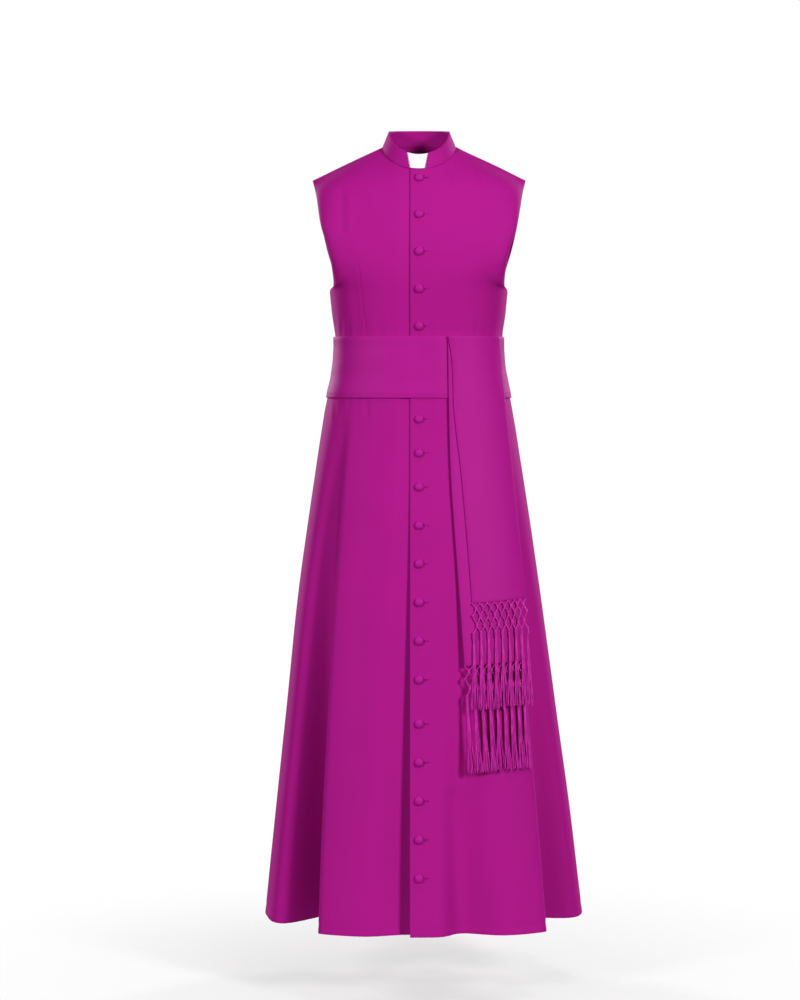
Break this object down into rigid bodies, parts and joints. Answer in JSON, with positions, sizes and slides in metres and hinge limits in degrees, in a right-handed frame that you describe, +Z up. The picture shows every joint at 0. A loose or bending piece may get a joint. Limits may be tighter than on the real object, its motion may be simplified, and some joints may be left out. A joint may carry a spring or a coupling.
{
  "type": "sleeveless clergy robe with fringed sash",
  "caption": "Ankle-length sleeveless buttoned robe with stand collar, white collar tab, wide waist sash and two knotted-fringe tails, hollow as worn.",
  "frame": {"origin": "midway between the two points where the shoulder seams meet the neckline, where the robe rests on its wearer's shoulders", "axes": "+Z up, -Y out of the buttoned front, +X towards the wearer's left"},
  "size_m": [0.5929, 0.4739, 1.4692],
  "materials": {
    "robe_cloth": "smooth matt twill suiting, magenta purple",
    "sash_cloth": "smooth twill, folded double, soft sheen",
    "fringe_yarn": "twisted rayon yarn, slight lustre",
    "button_cloth": "twill stretched over a domed button",
    "collar_tab": "white satin plastic tab"
  },
  "bodies": {
    "root": {"front_left": "robe_cloth", "front_right": "robe_cloth", "back": "robe_cloth", "collar": "robe_cloth", "collar_tab": "collar_tab", "sash_band": "sash_cloth", "sash_tail_inner": "sash_cloth", "sash_tail_outer": "sash_cloth", "fringe_inner": "fringe_yarn", "fringe_outer": "fringe_yarn", "button_bodice_1": "button_cloth", "button_bodice_2": "button_cloth", "button_bodice_3": "button_cloth", "button_bodice_4": "button_cloth", "button_bodice_5": "button_cloth", "button_hip_1": "button_cloth", "button_hip_2": "button_cloth", "button_skirt_1": "button_cloth", "button_skirt_2": "button_cloth", "button_skirt_3": "button_cloth", "button_skirt_4": "button_cloth", "button_skirt_5": "button_cloth", "button_skirt_6": "button_cloth", "button_hem_1": "button_cloth", "button_hem_2": "button_cloth", "button_hem_3": "button_cloth", "button_hem_4": "button_cloth", "button_hem_5": "button_cloth"}
  },
  "joints": []
}
